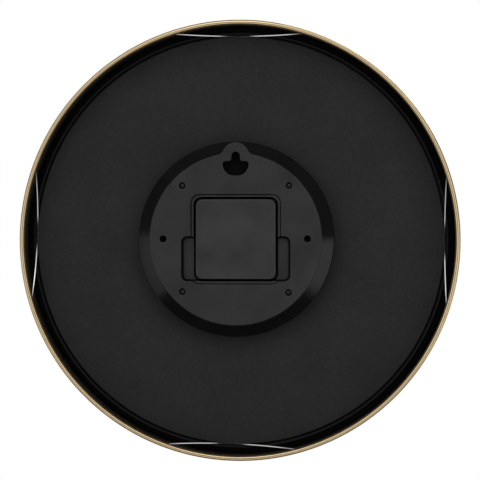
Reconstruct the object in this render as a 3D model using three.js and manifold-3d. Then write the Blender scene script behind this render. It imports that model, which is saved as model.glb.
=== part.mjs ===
// A round quartz wall clock: a gold metal drum, a black plastic ring that carries the lens, dial and
// backing board, a round rear housing with a hanging keyhole, and a battery movement with its whole gear
// train. Millimetres. +Y points from the dial to the wall and +Z is up. The origin is on the hand arbor,
// at mid depth.
import * as THREE from "three";
import { mergeVertices } from "three/addons/utils/BufferGeometryUtils.js";
import Module from "manifold-3d";

const wasm = await Module();
wasm.setup();

// ---- Driving dimensions ----
const ROUND = 60; // sides of the large rings
const HOUSING_SIDES = 48;
const SHOWN_TIME = { hour: 10, minute: 10, second: 35 }; // the time the hands show at rest

const RIM = { outer: 152, wall: 1.1, bead: 1.75, beadRadius: 150.75, lip: 145, front: -20, rear: 20 };
const LENS = { radius: 150.2, front: -18.4, rear: -16.4 };
const RING = {
  flange: 150.6, reflector: 141.5, ledge: 138.5, inside: 144.2, outside: 146,
  front: -16.1, rear: 0.5, plate: 1.5, slope: 2.1, shelf: -5.8,
};
const BOARD = { radius: 142.8, front: -2.5, rear: 0.5 };
const DIAL = { radius: 142.8, front: -3.5, rear: -2.7 };
const STRIP = { offset: 143, half: 43.8, width: 1, thick: 0.5, middle: 0.8, end: 15.4 };
const STRIPS = { top: 0, right: 88.2, bottom: 177.9, left: 270 }; // degrees clockwise from the front

const REAR = { x: 2.2, z: 0.9 }; // centre of the housing and of the movement case, off the arbor
// The housing: a nearly straight wall up to the shoulder, then a slope of drop down from the flat disc.
const HOUSING = {
  base: 68.4, shoulder: 67.9, drop: 7.2, disc: 59.6, front: 0.8, rear: 19.5, wall: 2,
  earZ: 57.8, ear: 9.3, fillet: 7,
};
const WELL = { half: 29.2, rebate: 31.2, rebateDepth: 1, corner: 5.5, skirt: 1.5, skirtFront: 9 };
const GRIP = { half: 37.7, low: -29.1, high: 2, corner: 4.3, floor: 13.5, skirt: 1.5 };
const KEYHOLE = { slotZ: 57.4, slot: 2.95, wideZ: 52.8, wide: 8.86, shoulder: 0.9, ease: 1.2 };
const POCKET = { half: 13, low: 41.5, high: 70, front: 10, wall: 1.5 }; // behind the keyhole
const SCREW = {
  head: 1.8, headThick: 1.3, shank: 1, hole: 1.3, boss: 3.3, bore: 2.25, front: -1.6, blade: 0.25,
};
const CORNER_SCREWS = [[37, 37], [37, -36.4], [-36.5, -36.8], [-36.8, 37]];
const SIDE_SCREWS = { right: 50.3, left: -49.5 };
const SIDE_SCREW_Z = 0.2;
const CORNER_SEAT = HOUSING.rear - 2;
const SIDE_SEAT = HOUSING.rear - 7;
const COVER = { half: 27.65, corner: 5, wall: 1.4, front: 15.9, rear: 18.9, plate: 1.4 };

const CASE = { half: 27.65, corner: 3, wall: 1.2, plateFront: 0.8, front: 2.3, rear: 15.6 };
const SPIGOT = { half: 25.9, wall: 1.2, corner: 3.6, rise: 1, low: -10.4 }; // on the case's back
const GEAR_BAY = { low: -9.7, high: 26.45 }; // z limits inside the case, from its own centre
const BATTERY_BAY = { low: -26.45, high: -11 };
const BATTERY = { radius: 7.25, length: 49.5, nub: 1, nubRadius: 2.75, y: 9.5, z: -17.8, left: -22.8 };
const HUB = { outer: 4, inner: 2.9, front: -7.3 };
const PIPE = { minute: { inner: 0.7, outer: 1.3 }, hour: { inner: 1.5, outer: 2.6 }, play: 0.1 };

// Layers of the gear train along the arbors, from the dial to the back.
const THICK = 0.8;
const LAYER = { hour: 2.6, motion: 3.8, centre: 5, bridge: 6.2, third: 7.4, second: 8.6, rotor: 12.2 };
const ARBOR = { radius: 0.35, rear: 13.9 };
const TEETH = {
  rotor: 6, intermediate: 36, intermediatePinion: 6, second: 30, secondPinion: 6, third: 45, thirdPinion: 6,
  centre: 48, cannon: 10, motion: 30, motionPinion: 8, hour: 32, knob: 10,
};
const MODULE = { rotor: 0.3, second: 0.36, third: 8.1 / 25.5, centre: 0.3, motion: 0.32 };

// ---- Shapes ----
const rad = THREE.MathUtils.degToRad;

function ringPoints(sides, radius, x = 0, z = 0) {
  return Array.from({ length: sides }, (_, i) => {
    const a = (i / sides) * 2 * Math.PI;
    return new THREE.Vector2(x + radius * Math.cos(a), z + radius * Math.sin(a));
  });
}

// A flat outline in X and Z, drawn out along Y from front to rear.
function slab(shape, front, rear, curveSegments = 6) {
  const options = { depth: rear - front, bevelEnabled: false, curveSegments };
  return new THREE.ExtrudeGeometry(shape, options).rotateX(Math.PI / 2).translate(0, rear, 0);
}

// A profile of [radius, y] points, drawn anticlockwise, turned about Y.
function turned(profile, sides = ROUND) {
  const closed = profile[0][0] === 0 ? profile : [...profile, profile[0]];
  return new THREE.LatheGeometry(closed.map(([r, y]) => new THREE.Vector2(r, y)), sides);
}

function rod(radius, front, rear, sides = 12, x = 0, z = 0) {
  return turned([[0, front], [radius, front], [radius, rear], [0, rear]], sides).translate(x, 0, z);
}

function tube(inner, outer, front, rear, sides = 24, x = 0, z = 0) {
  const profile = [[inner, front], [outer, front], [outer, rear], [inner, rear]];
  return turned(profile, sides).translate(x, 0, z);
}

function block(x0, x1, y0, y1, z0, z1) {
  const geometry = new THREE.BoxGeometry(x1 - x0, y1 - y0, z1 - z0);
  return geometry.translate((x0 + x1) / 2, (y0 + y1) / 2, (z0 + z1) / 2);
}

function roundedRect(x0, x1, z0, z1, r) {
  const s = new THREE.Shape();
  s.moveTo(x0 + r, z0).lineTo(x1 - r, z0).absarc(x1 - r, z0 + r, r, -Math.PI / 2, 0);
  s.lineTo(x1, z1 - r).absarc(x1 - r, z1 - r, r, 0, Math.PI / 2);
  s.lineTo(x0 + r, z1).absarc(x0 + r, z1 - r, r, Math.PI / 2, Math.PI);
  s.lineTo(x0, z0 + r).absarc(x0 + r, z0 + r, r, Math.PI, 1.5 * Math.PI);
  return s;
}

function roundedSquare(half, r) {
  return roundedRect(-half, half, -half, half, r);
}

// ---- Joins and cuts ----
function solid(geometry) {
  const g = geometry.clone();
  g.deleteAttribute("normal");
  g.deleteAttribute("uv");
  const merged = mergeVertices(g, 1e-4);
  const vertProperties = merged.attributes.position.array;
  const triVerts = new Uint32Array(merged.index.array);
  return new wasm.Manifold(new wasm.Mesh({ numProp: 3, vertProperties, triVerts }));
}

function geometryOf(manifold) {
  const mesh = manifold.getMesh();
  const g = new THREE.BufferGeometry();
  g.setAttribute("position", new THREE.BufferAttribute(new Float32Array(mesh.vertProperties), 3));
  g.setIndex(new THREE.BufferAttribute(new Uint32Array(mesh.triVerts), 1));
  return g;
}

function joined(...geometries) {
  return geometries.map(solid).reduce((a, b) => a.add(b));
}

function cut(manifold, ...geometries) {
  return geometries.map(solid).reduce((a, b) => a.subtract(b), manifold);
}

// ---- Materials ----
function material(color, roughness, metalness, more = {}) {
  return new THREE.MeshStandardMaterial({ color, roughness, metalness, ...more });
}

const GOLD = material(0xc9a877, 0.32, 1);
const BLACK_PLASTIC = material(0x2b2b2b, 0.5, 0);
const BOARD_BLACK = material(0x242424, 0.85, 0);
const DIAL_BLACK = material(0x151515, 0.7, 0);
const STEEL = material(0xd0d2d4, 0.22, 1);
const SCREW_BLACK = material(0x1a1a1a, 0.35, 0.8);
const BRASS = material(0xb8934a, 0.35, 1);
const CASE_PLASTIC = material(0x303234, 0.55, 0);
const GEAR_WHITE = material(0xe8e6de, 0.5, 0);
const GLASS = material(0xffffff, 0.02, 0, { transparent: true, opacity: 0.2 });
const RUBBER = material(0x101010, 0.9, 0);
const BATTERY_LABEL = material(0x4d5358, 0.4, 0.3);
const CIRCUIT_GREEN = material(0x2f6b3f, 0.6, 0);
const COPPER = material(0xb0642f, 0.35, 1);

const clock = new THREE.Group();
const rearUnit = new THREE.Group();
rearUnit.position.set(REAR.x, 0, REAR.z);
clock.add(rearUnit);

function place(name, shape, look, parent = clock) {
  const geometry = shape.isBufferGeometry ? shape : geometryOf(shape);
  const mesh = new THREE.Mesh(geometry, look);
  mesh.name = name;
  parent.add(mesh);
  return mesh;
}

// ---- Case: drum, lens, ring, dial and board ----
function rimProfile() {
  const inner = RIM.outer - RIM.wall;
  const beadY = RIM.rear - RIM.bead;
  const bead = [0, 45, 90, 135, 180].map((d) => [
    RIM.beadRadius + RIM.bead * Math.cos(rad(d)),
    beadY + RIM.bead * Math.sin(rad(d)),
  ]);
  return [
    [RIM.lip, RIM.front + 1.3], [RIM.lip + 0.3, RIM.front + 0.3], [RIM.lip + 1.2, RIM.front],
    [RIM.outer - 2.2, RIM.front], [RIM.outer - 0.6, RIM.front + 0.6], [RIM.outer, RIM.front + 2.2],
    [RIM.outer, beadY - RIM.bead], ...bead, [inner, beadY - RIM.bead], [inner, RIM.front + 1.3],
  ];
}

// The reflector slopes in to a ledge in front of the dial, and a wall behind it goes round the board.
const ledgeRear = DIAL.front - 0.3;
const ringProfile = [
  [RING.reflector, RING.front], [RING.flange, RING.front], [RING.flange, RING.front + RING.plate],
  [RING.reflector + RING.slope, RING.front + RING.plate], [RING.ledge + RING.slope, RING.shelf],
  [RING.outside, RING.shelf], [RING.outside, RING.rear], [RING.inside, RING.rear],
  [RING.inside, ledgeRear], [RING.ledge, ledgeRear],
];

function disc(radius, front, rear, holes) {
  const shape = new THREE.Shape(ringPoints(ROUND, radius));
  for (const [x, z, r, sides] of holes) shape.holes.push(new THREE.Path(ringPoints(sides, r, x, z)));
  return slab(shape, front, rear);
}

const hubHole = [0, 0, HUB.outer + 0.3, 20];
const screwPlaces = [
  ...CORNER_SCREWS.map(([x, z]) => ({ x, z, seat: CORNER_SEAT })),
  ...Object.values(SIDE_SCREWS).map((x) => ({ x, z: SIDE_SCREW_Z, seat: SIDE_SEAT })),
];
const screwHoles = screwPlaces.map(({ x, z }) => [x + REAR.x, z + REAR.z, SCREW.hole, 8]);

place("case_rim", turned(rimProfile()), GOLD);
place("front_lens", rod(LENS.radius, LENS.front, LENS.rear, ROUND), GLASS);
place("inner_ring", turned(ringProfile), BLACK_PLASTIC);
place("dial_plate", disc(DIAL.radius, DIAL.front, DIAL.rear, [hubHole]), DIAL_BLACK);
place("backing_board", disc(BOARD.radius, BOARD.front, BOARD.rear, [hubHole, ...screwHoles]), BOARD_BLACK);

// A bowed leaf: its ends catch under the drum's rolled edge and its middle bears on the edge of the board.
function stripGeometry() {
  const { half, width, thick, middle, end, offset } = STRIP;
  const control = 2 * middle - end;
  const side = new THREE.Shape();
  side.moveTo(-half, end).quadraticCurveTo(0, control, half, end);
  side.lineTo(half, end + thick).quadraticCurveTo(0, control + thick, -half, end + thick);
  const options = { depth: width, bevelEnabled: false, curveSegments: 14 };
  return new THREE.ExtrudeGeometry(side, options).translate(0, 0, offset - width / 2);
}

for (const [where, degrees] of Object.entries(STRIPS)) {
  place("retaining_strip_" + where, stripGeometry(), STEEL).rotation.y = rad(degrees);
}

// Hour markers, wider and longer at the quarters, stuck to the dial.
const MARKER = {
  quarter: { half: 2.6, inner: 110 }, plain: { half: 1.6, inner: 118 },
  outer: 132, thick: 1.2, gap: 0.05,
};
for (let hour = 1; hour <= 12; hour++) {
  const { half, inner } = hour % 3 === 0 ? MARKER.quarter : MARKER.plain;
  const rear = DIAL.front - MARKER.gap;
  const bar = block(-half, half, rear - MARKER.thick, rear, inner, MARKER.outer);
  place("hour_marker_" + hour, bar, GOLD).rotation.y = rad(hour * 30);
}

// ---- Rear housing with its ear, keyhole, cover well and finger grips ----
// The disc's outline with a rounded ear at the top, joined by concave fillets. All arcs move in by inset.
function earOutline(inset) {
  const { disc: discR, ear, earZ, fillet } = HOUSING;
  const far = discR + fillet;
  const near = ear + fillet;
  const z = (far * far - near * near + earZ * earZ) / (2 * earZ);
  const x = Math.sqrt(far * far - z * z);
  const onDisc = Math.atan2(-z, -x); // from the right fillet's centre towards the disc's centre
  const onEar = Math.atan2(earZ - z, -x); // and towards the ear's centre
  const s = new THREE.Shape();
  const low = (discR - inset) / far;
  s.moveTo(-x * low, 40).lineTo(x * low, 40).lineTo(x * low, z * low);
  s.absarc(x, z, fillet + inset, onDisc, onEar, true);
  s.absarc(0, earZ, ear - inset, onEar + Math.PI, -onEar, false);
  s.absarc(-x, z, fillet + inset, Math.PI - onEar, Math.PI - onDisc, true);
  return s;
}

function keyholeOutline() {
  const { slotZ, slot, wideZ, wide, shoulder, ease } = KEYHOLE;
  const top = wideZ + shoulder;
  const s = new THREE.Shape();
  s.absarc(0, wideZ, wide, Math.PI, 2 * Math.PI);
  s.lineTo(wide - ease / 2, top).lineTo(slot + ease, top).lineTo(slot, top + ease);
  s.absarc(0, slotZ, slot, 0, Math.PI);
  s.lineTo(-slot, top + ease).lineTo(-slot - ease, top).lineTo(-wide + ease / 2, top);
  return s;
}

function outerShell() {
  const { base, shoulder, drop, disc: discR, front, rear } = HOUSING;
  const profile = [
    [0, front], [base, front], [shoulder, rear - drop],
    [discR + 0.1, rear - 0.5], [discR - 0.4, rear], [0, rear],
  ];
  return solid(turned(profile, HOUSING_SIDES)).add(solid(slab(earOutline(0), front, rear)));
}

function hollow() {
  const { base, shoulder, drop, disc: discR, front, rear, wall } = HOUSING;
  const inside = rear - wall;
  const profile = [
    [0, front - 1], [base - wall, front - 1], [base - wall, front + 1],
    [shoulder - wall, rear - drop - 1], [discR - wall, inside], [0, inside],
  ];
  return solid(turned(profile, HOUSING_SIDES)).add(solid(slab(earOutline(wall), front - 1, inside)));
}

function housing() {
  const { front, rear, wall } = HOUSING;
  const inside = rear - wall;
  const outer = outerShell();
  const inner = hollow();
  const { half, low, high } = POCKET;
  const pocketBlock = solid(block(-half, half, POCKET.front, rear - 1, low, high)).intersect(outer);
  const spaceHalf = half - POCKET.wall;
  const space = block(-spaceHalf, spaceHalf, POCKET.front + POCKET.wall, inside, low + POCKET.wall, high);
  const pocket = solid(space).intersect(inner);
  let body = outer.subtract(inner).add(pocketBlock).subtract(pocket);

  const wellBlock = roundedSquare(WELL.half + WELL.skirt, WELL.corner + WELL.skirt);
  const gripOutline = (more) => roundedRect(
    -GRIP.half - more, GRIP.half + more, GRIP.low - more, GRIP.high + more, GRIP.corner + more,
  );
  body = body.add(solid(slab(wellBlock, WELL.skirtFront, rear - 1)));
  body = body.add(solid(slab(gripOutline(GRIP.skirt), GRIP.floor - GRIP.skirt, rear - 1)));
  for (const { x, z } of screwPlaces) {
    body = body.add(solid(rod(SCREW.boss, front, rear - 1, 8, x, z)));
  }
  body = cut(
    body,
    slab(roundedSquare(WELL.half, WELL.corner), WELL.skirtFront - 1, rear + 1),
    slab(roundedSquare(WELL.rebate, WELL.corner + 0.5), rear - WELL.rebateDepth, rear + 1),
    slab(gripOutline(0), GRIP.floor, rear + 1),
    slab(keyholeOutline(), inside - 1, rear + 1, 8),
  );
  for (const { x, z, seat } of screwPlaces) {
    const hole = rod(SCREW.hole, front - 1, rear + 1, 8, x, z);
    body = cut(body, hole, rod(SCREW.bore, seat, rear + 1, 10, x, z));
  }
  return body;
}

// A pan-head screw with a cross recess, its head resting on the seat.
function screw(seat) {
  const top = seat + SCREW.headThick;
  const head = [
    [0, SCREW.front], [SCREW.shank, SCREW.front], [SCREW.shank, seat + 0.05], [SCREW.head, seat + 0.05],
    [SCREW.head, top - 0.5], [SCREW.head - 0.6, top], [0, top],
  ];
  const arm = SCREW.head * 0.6;
  const { blade } = SCREW;
  return cut(
    solid(turned(head, 8)),
    block(-arm, arm, top - 0.7, top + 1, -blade, blade),
    block(-blade, blade, top - 0.7, top + 1, -arm, arm),
  );
}

place("back_housing", housing(), BLACK_PLASTIC, rearUnit);
CORNER_SCREWS.forEach(([x, z], i) => {
  place("housing_screw_" + (i + 1), screw(CORNER_SEAT), SCREW_BLACK, rearUnit).position.set(x, 0, z);
});
for (const [side, x] of Object.entries(SIDE_SCREWS)) {
  place("anchor_screw_" + side, screw(SIDE_SEAT), SCREW_BLACK, rearUnit).position.set(x, 0, SIDE_SCREW_Z);
}

function batteryCover() {
  const { half, corner, wall, front, rear, plate } = COVER;
  const outline = roundedSquare(half, corner);
  const inside = roundedSquare(half - wall, corner - wall);
  return cut(solid(slab(outline, front, rear)), slab(inside, front - 1, rear - plate));
}
place("battery_cover", batteryCover(), BLACK_PLASTIC, rearUnit);

// ---- Gear train: axes in the clock's own frame ----
function polar(from, distance, degrees) {
  return { x: from.x + distance * Math.cos(rad(degrees)), z: from.z + distance * Math.sin(rad(degrees)) };
}

// The distance between the axes of two meshed gears.
function reach(module, a, b) {
  return (module * (a + b)) / 2;
}

const MAIN = { x: 0, z: 0 };
const ANGLE = { third: 150, intermediate: 35, rotor: 60, motion: 200 }; // degrees from +X towards +Z
const AXIS = {
  third: polar(MAIN, reach(MODULE.third, TEETH.secondPinion, TEETH.third), ANGLE.third),
  intermediate: polar(MAIN, reach(MODULE.second, TEETH.second, TEETH.intermediatePinion), ANGLE.intermediate),
  motion: polar(MAIN, reach(MODULE.motion, TEETH.cannon, TEETH.motion), ANGLE.motion),
};
AXIS.rotor = polar(AXIS.intermediate, reach(MODULE.rotor, TEETH.rotor, TEETH.intermediate), ANGLE.rotor);
AXIS.knob = polar(AXIS.motion, reach(MODULE.motion, TEETH.motion, TEETH.knob), ANGLE.motion);

// A toothed outline. One tooth points along toothAt degrees, or one gap along gapAt degrees.
function gear(teeth, module, front, { toothAt = 0, gapAt = null, bore = 0 } = {}) {
  const pitch = (2 * Math.PI) / teeth;
  const start = gapAt === null ? rad(toothAt) : rad(gapAt) + pitch / 2;
  const tip = (module * teeth) / 2 + 0.75 * module;
  const root = (module * teeth) / 2 - 1.05 * module;
  const corners = [[-0.22, root], [0, tip], [0.22, root]];
  const points = [];
  for (let i = 0; i < teeth; i++) {
    for (const [share, r] of corners) {
      const a = start + (i + share) * pitch;
      points.push(new THREE.Vector2(r * Math.cos(a), r * Math.sin(a)));
    }
  }
  const shape = new THREE.Shape(points);
  if (bore > 0) shape.holes.push(new THREE.Path(ringPoints(16, bore)));
  return slab(shape, front, front + THICK);
}

function put(name, shape, look, axis) {
  place(name, shape, look).position.set(axis.x, 0, axis.z);
}

const back = (degrees) => degrees + 180; // the direction from the second axis to the first
const bridgeTop = LAYER.bridge + THICK;

put(
  "rotor",
  joined(
    rod(ARBOR.radius, bridgeTop - 0.4, ARBOR.rear, 8),
    rod(2.3, 9.6, 11.8, 20),
    gear(TEETH.rotor, MODULE.rotor, LAYER.rotor, { gapAt: back(ANGLE.rotor) }),
  ),
  STEEL,
  AXIS.rotor,
);
put(
  "intermediate_wheel",
  joined(
    rod(ARBOR.radius, bridgeTop - 0.4, ARBOR.rear, 8),
    gear(TEETH.intermediatePinion, MODULE.second, LAYER.second, { gapAt: back(ANGLE.intermediate) }),
    gear(TEETH.intermediate, MODULE.rotor, LAYER.rotor, { toothAt: ANGLE.rotor }),
  ),
  GEAR_WHITE,
  AXIS.intermediate,
);
put(
  "third_wheel",
  joined(
    rod(ARBOR.radius, LAYER.hour, ARBOR.rear, 8),
    gear(TEETH.thirdPinion, MODULE.centre, LAYER.centre, { gapAt: back(ANGLE.third) }),
    gear(TEETH.third, MODULE.third, LAYER.third, { toothAt: back(ANGLE.third) }),
  ),
  GEAR_WHITE,
  AXIS.third,
);
put(
  "second_wheel",
  joined(
    rod(0.5, -12.5, ARBOR.rear, 10),
    gear(TEETH.secondPinion, MODULE.third, LAYER.third, { gapAt: ANGLE.third }),
    gear(TEETH.second, MODULE.second, LAYER.second, { toothAt: ANGLE.intermediate }),
  ),
  GEAR_WHITE,
  MAIN,
);
put(
  "centre_wheel",
  joined(
    tube(PIPE.minute.inner, PIPE.minute.outer, -11, LAYER.centre + 0.4, 16),
    gear(TEETH.cannon, MODULE.motion, LAYER.motion, { gapAt: ANGLE.motion, bore: 0.9 }),
    gear(TEETH.centre, MODULE.centre, LAYER.centre, { toothAt: ANGLE.third, bore: 0.9 }),
  ),
  BRASS,
  MAIN,
);
put(
  "motion_wheel",
  joined(
    tube(0.8, 1.1, LAYER.hour - 0.3, LAYER.motion + THICK, 8),
    gear(TEETH.motionPinion, MODULE.motion, LAYER.hour, { gapAt: back(ANGLE.motion), bore: 0.9 }),
    gear(TEETH.motion, MODULE.motion, LAYER.motion, { toothAt: back(ANGLE.motion), bore: 0.9 }),
  ),
  GEAR_WHITE,
  AXIS.motion,
);
put(
  "hour_wheel",
  joined(
    tube(PIPE.hour.inner, PIPE.hour.outer, -9, LAYER.hour + 0.4, 16),
    gear(TEETH.hour, MODULE.motion, LAYER.hour, { toothAt: ANGLE.motion, bore: 2.1 }),
  ),
  BRASS,
  MAIN,
);

// The setting knob: a knurled thumb wheel outside the case, and a pinion inside that turns the motion wheel.
function settingKnob() {
  const grips = Array.from({ length: 40 }, (_, i) => {
    const a = (i / 40) * 2 * Math.PI;
    const r = i % 2 ? 4.6 : 5;
    return new THREE.Vector2(r * Math.cos(a), r * Math.sin(a));
  });
  return joined(
    rod(0.7, CASE.front, 16.4, 10),
    slab(new THREE.Shape(grips), 15.9, 17.2),
    gear(TEETH.knob, MODULE.motion, LAYER.motion, { gapAt: back(ANGLE.motion) }),
  );
}
put("setting_knob", settingKnob(), GEAR_WHITE, AXIS.knob);

// ---- Movement case, bridge and electrics ----
function local(axis) {
  return [axis.x - REAR.x, axis.z - REAR.z];
}

const BRIDGE_POSTS = [{ x: -14.5, z: 12.5 }, { x: 12.5, z: 12.5 }, { x: 12.5, z: -6 }];

function movementPlate() {
  const [hubX, hubZ] = local(MAIN);
  const [knobX, knobZ] = local(AXIS.knob);
  const top = CASE.plateFront + CASE.wall;
  const plate = joined(
    slab(roundedSquare(CASE.half, CASE.corner), CASE.plateFront, top),
    rod(HUB.outer, HUB.front, top - 0.2, 20, hubX, hubZ),
    rod(0.55, top - 0.2, LAYER.motion + THICK - 0.2, 8, ...local(AXIS.motion)),
    rod(1.6, top - 0.2, top + 0.9, 10, knobX, knobZ),
    rod(1.2, top - 0.2, LAYER.hour + 0.3, 10, ...local(AXIS.third)),
    ...BRIDGE_POSTS.map((post) => rod(1.2, top - 0.2, LAYER.bridge - 0.3, 8, ...local(post))),
  );
  return cut(
    plate,
    rod(HUB.inner, HUB.front - 1, top + 1, 20, hubX, hubZ),
    rod(0.9, CASE.front - 0.2, top + 2, 10, knobX, knobZ),
    rod(0.55, LAYER.hour - 0.2, top + 2, 8, ...local(AXIS.third)),
  );
}

function movementCase() {
  const inner = CASE.half - CASE.wall;
  const inside = CASE.rear - CASE.wall;
  const bayOutline = ({ low, high }) => roundedRect(-inner, inner, low, high, 1.5);
  const pivots = [AXIS.rotor, AXIS.intermediate, AXIS.third, MAIN].map(local);
  const { half, wall, corner, rise, low } = SPIGOT;
  const spigot = cut(
    solid(slab(roundedSquare(half, corner), CASE.rear - 0.3, CASE.rear + rise)),
    slab(roundedSquare(half - wall, corner - wall), CASE.rear - 1, CASE.rear + rise + 1),
    block(-30, 30, 0, 20, -30, low),
  );
  let body = solid(slab(roundedSquare(CASE.half, CASE.corner), CASE.front, CASE.rear)).add(spigot);
  body = cut(
    body,
    slab(bayOutline(GEAR_BAY), CASE.front - 1, inside, 2),
    slab(bayOutline(BATTERY_BAY), CASE.front - 1, CASE.rear + 1, 2),
  );
  for (const [x, z] of pivots) {
    body = body.add(solid(rod(1.3, ARBOR.rear - 0.6, inside + 0.2, 8, x, z)));
    body = cut(body, rod(0.65, ARBOR.rear - 1, inside + 0.1, 8, x, z));
  }
  return cut(body, rod(1, 10, 20, 12, ...local(AXIS.knob)));
}

function gearBridge() {
  const plate = new THREE.Shape();
  plate.moveTo(-16.5, 14.5).lineTo(-16.5, 3).lineTo(-9, -5);
  plate.lineTo(-2, -8).lineTo(14.5, -8).lineTo(14.5, 14.5);
  const holes = [[AXIS.third, 1.5], [AXIS.intermediate, 0.5], [AXIS.rotor, 0.5], [MAIN, 1.3]];
  for (const [axis, r] of holes) plate.holes.push(new THREE.Path(ringPoints(12, r, axis.x, axis.z)));
  return slab(plate, LAYER.bridge, bridgeTop);
}

place("movement_plate", movementPlate(), CASE_PLASTIC, rearUnit);
place("movement_case", movementCase(), CASE_PLASTIC, rearUnit);
place("gear_bridge", gearBridge(), BRASS);

// The stator's plate closes round the rotor, and its top bar is the core of the coil.
const COIL = { x0: -2.1, x1: 19.1, y: 10.7, z: 20.5, flange: 3.3, winding: 2.8, hole: 1.6 };

function stator() {
  const outline = [[-6, 4.8], [23, 4.8], [23, 21.7], [-6, 21.7]];
  const plate = new THREE.Shape(outline.map(([x, z]) => new THREE.Vector2(x, z)));
  const window = [[-2.5, 13.4], [-2.5, 19.3], [19.5, 19.3], [19.5, 13.4]];
  plate.holes.push(new THREE.Path(window.map(([x, z]) => new THREE.Vector2(x, z))));
  plate.holes.push(new THREE.Path(ringPoints(20, 2.7, AXIS.rotor.x, AXIS.rotor.z)));
  return slab(plate, COIL.y - 0.5, COIL.y + 0.5);
}

function coil() {
  const { x0, x1, flange, winding, hole, y, z } = COIL;
  const profile = [
    [hole, x0], [flange, x0], [flange, x0 + 1], [winding, x0 + 1],
    [winding, x1 - 1], [flange, x1 - 1], [flange, x1], [hole, x1],
  ];
  return turned(profile, 16).rotateZ(-Math.PI / 2).translate(0, y, z);
}

place("stator", stator(), STEEL);
place("coil", coil(), COPPER);

function circuitBoard() {
  const board = block(-23, -9, 9.5, 10.5, 11, 26);
  const chip = rod(2.4, 10.3, 11.3, 12, -13, 15.5);
  return joined(board, chip);
}
place("circuit_board", circuitBoard(), CIRCUIT_GREEN);
place("quartz_crystal", rod(1.4, 0, 6, 12).rotateX(Math.PI / 2).translate(-20, 12.2, 17), STEEL);

function battery() {
  const { radius, length, nub, nubRadius, y, z, left } = BATTERY;
  const profile = [
    [0, 0], [radius - 0.8, 0], [radius, 0.6], [radius, length - 0.6], [radius - 0.8, length],
    [nubRadius, length], [nubRadius, length + nub], [0, length + nub],
  ];
  return turned(profile, 20).rotateZ(-Math.PI / 2).translate(left, y, z);
}
place("battery", battery(), BATTERY_LABEL);

// Contacts at the two ends of the bay: a flat plate for the button end, a bowed spring leaf for the other.
const bayEnds = { left: REAR.x - CASE.half + CASE.wall, right: REAR.x + CASE.half - CASE.wall };
place("contact_positive", block(bayEnds.right - 0.65, bayEnds.right - 0.25, 4, 15, -22, -13.6), STEEL);

function springLeaf() {
  const s = new THREE.Shape();
  s.moveTo(0, -4.2).quadraticCurveTo(1.7, 0, 0, 4.2);
  s.lineTo(-0.35, 4.2).quadraticCurveTo(1.35, 0, -0.35, -4.2);
  return slab(s, 4, 15, 6).translate(bayEnds.left + 0.5, 0, BATTERY.z);
}
place("contact_negative", springLeaf(), STEEL);

// ---- Dial side: washer, nut and hands ----
function hexNut() {
  const hex = new THREE.Shape(ringPoints(6, 7));
  hex.holes.push(new THREE.Path(ringPoints(20, HUB.outer + 0.25)));
  return slab(hex, -6.9, -4.75);
}
place("dial_washer", tube(HUB.outer + 0.3, 8.5, -4.6, DIAL.front - 0.1, 24), RUBBER);
place("mounting_nut", hexNut(), BRASS);

// A slim tapered hand that points up from its hub: half widths at the tail, hub and tip.
function handShape({ tail, length, halfTail, halfBase, halfTip, hub, bore }) {
  const side = Math.sqrt(hub * hub - halfBase * halfBase);
  const turn = Math.atan2(side, halfBase);
  const s = new THREE.Shape();
  s.moveTo(-halfTail, -tail).lineTo(halfTail, -tail).lineTo(halfBase, -side);
  s.absarc(0, 0, hub, -turn, turn);
  s.lineTo(halfTip, length - halfTip).lineTo(0, length).lineTo(-halfTip, length - halfTip);
  s.lineTo(-halfBase, side);
  s.absarc(0, 0, hub, Math.PI - turn, Math.PI + turn);
  if (bore > 0) s.holes.push(new THREE.Path(ringPoints(16, bore)));
  return s;
}

const HANDS = {
  hour: {
    tail: 15, length: 80, halfTail: 2, halfBase: 3.2, halfTip: 1.6, hub: 6.5,
    bore: PIPE.hour.outer + PIPE.play, front: -8.4, thick: 0.6,
  },
  minute: {
    tail: 18, length: 116, halfTail: 1.6, halfBase: 2.6, halfTip: 1.2, hub: 5.5,
    bore: PIPE.minute.outer + PIPE.play, front: -10.3, thick: 0.6,
  },
  second: {
    tail: 34, length: 122, halfTail: 1.1, halfBase: 0.8, halfTip: 0.4, hub: 4,
    bore: 0, front: -12.9, thick: 0.5,
  },
};
const turns = {
  hour: 30 * (SHOWN_TIME.hour + SHOWN_TIME.minute / 60 + SHOWN_TIME.second / 3600),
  minute: 6 * (SHOWN_TIME.minute + SHOWN_TIME.second / 60),
  second: 6 * SHOWN_TIME.second,
};

function hand(which) {
  const h = HANDS[which];
  return slab(handShape(h), h.front, h.front + h.thick, 8);
}
place("hour_hand", hand("hour"), GOLD).rotation.y = rad(turns.hour);
place("minute_hand", hand("minute"), GOLD).rotation.y = rad(turns.minute);

// The second hand has a round counterweight, and a cap with a socket that the arbor fits.
function secondHand() {
  const h = HANDS.second;
  const counterweight = rod(5, h.front, h.front + h.thick, 20, 0, -h.tail);
  const cap = rod(3.4, h.front - 0.5, -11.6, 20);
  const socket = rod(0.62, -12.65, -11, 10);
  return cut(joined(hand("second"), counterweight, cap), socket);
}
place("second_hand", secondHand(), GOLD).rotation.y = rad(turns.second);
place("hand_nut", tube(PIPE.minute.outer + PIPE.play, 3, -11.3, -10.45, 16), BRASS);

export default clock;
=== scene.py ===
"""A round quartz wall clock, seen from behind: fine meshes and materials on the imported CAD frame.

Lengths are millimetres in this file, and MM turns them into Blender's metres when a mesh is made.
+Y points from the dial to the wall and +Z is up, as in the frame.
"""

import math

import bmesh
import bpy
from mathutils import Matrix, Vector


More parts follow.
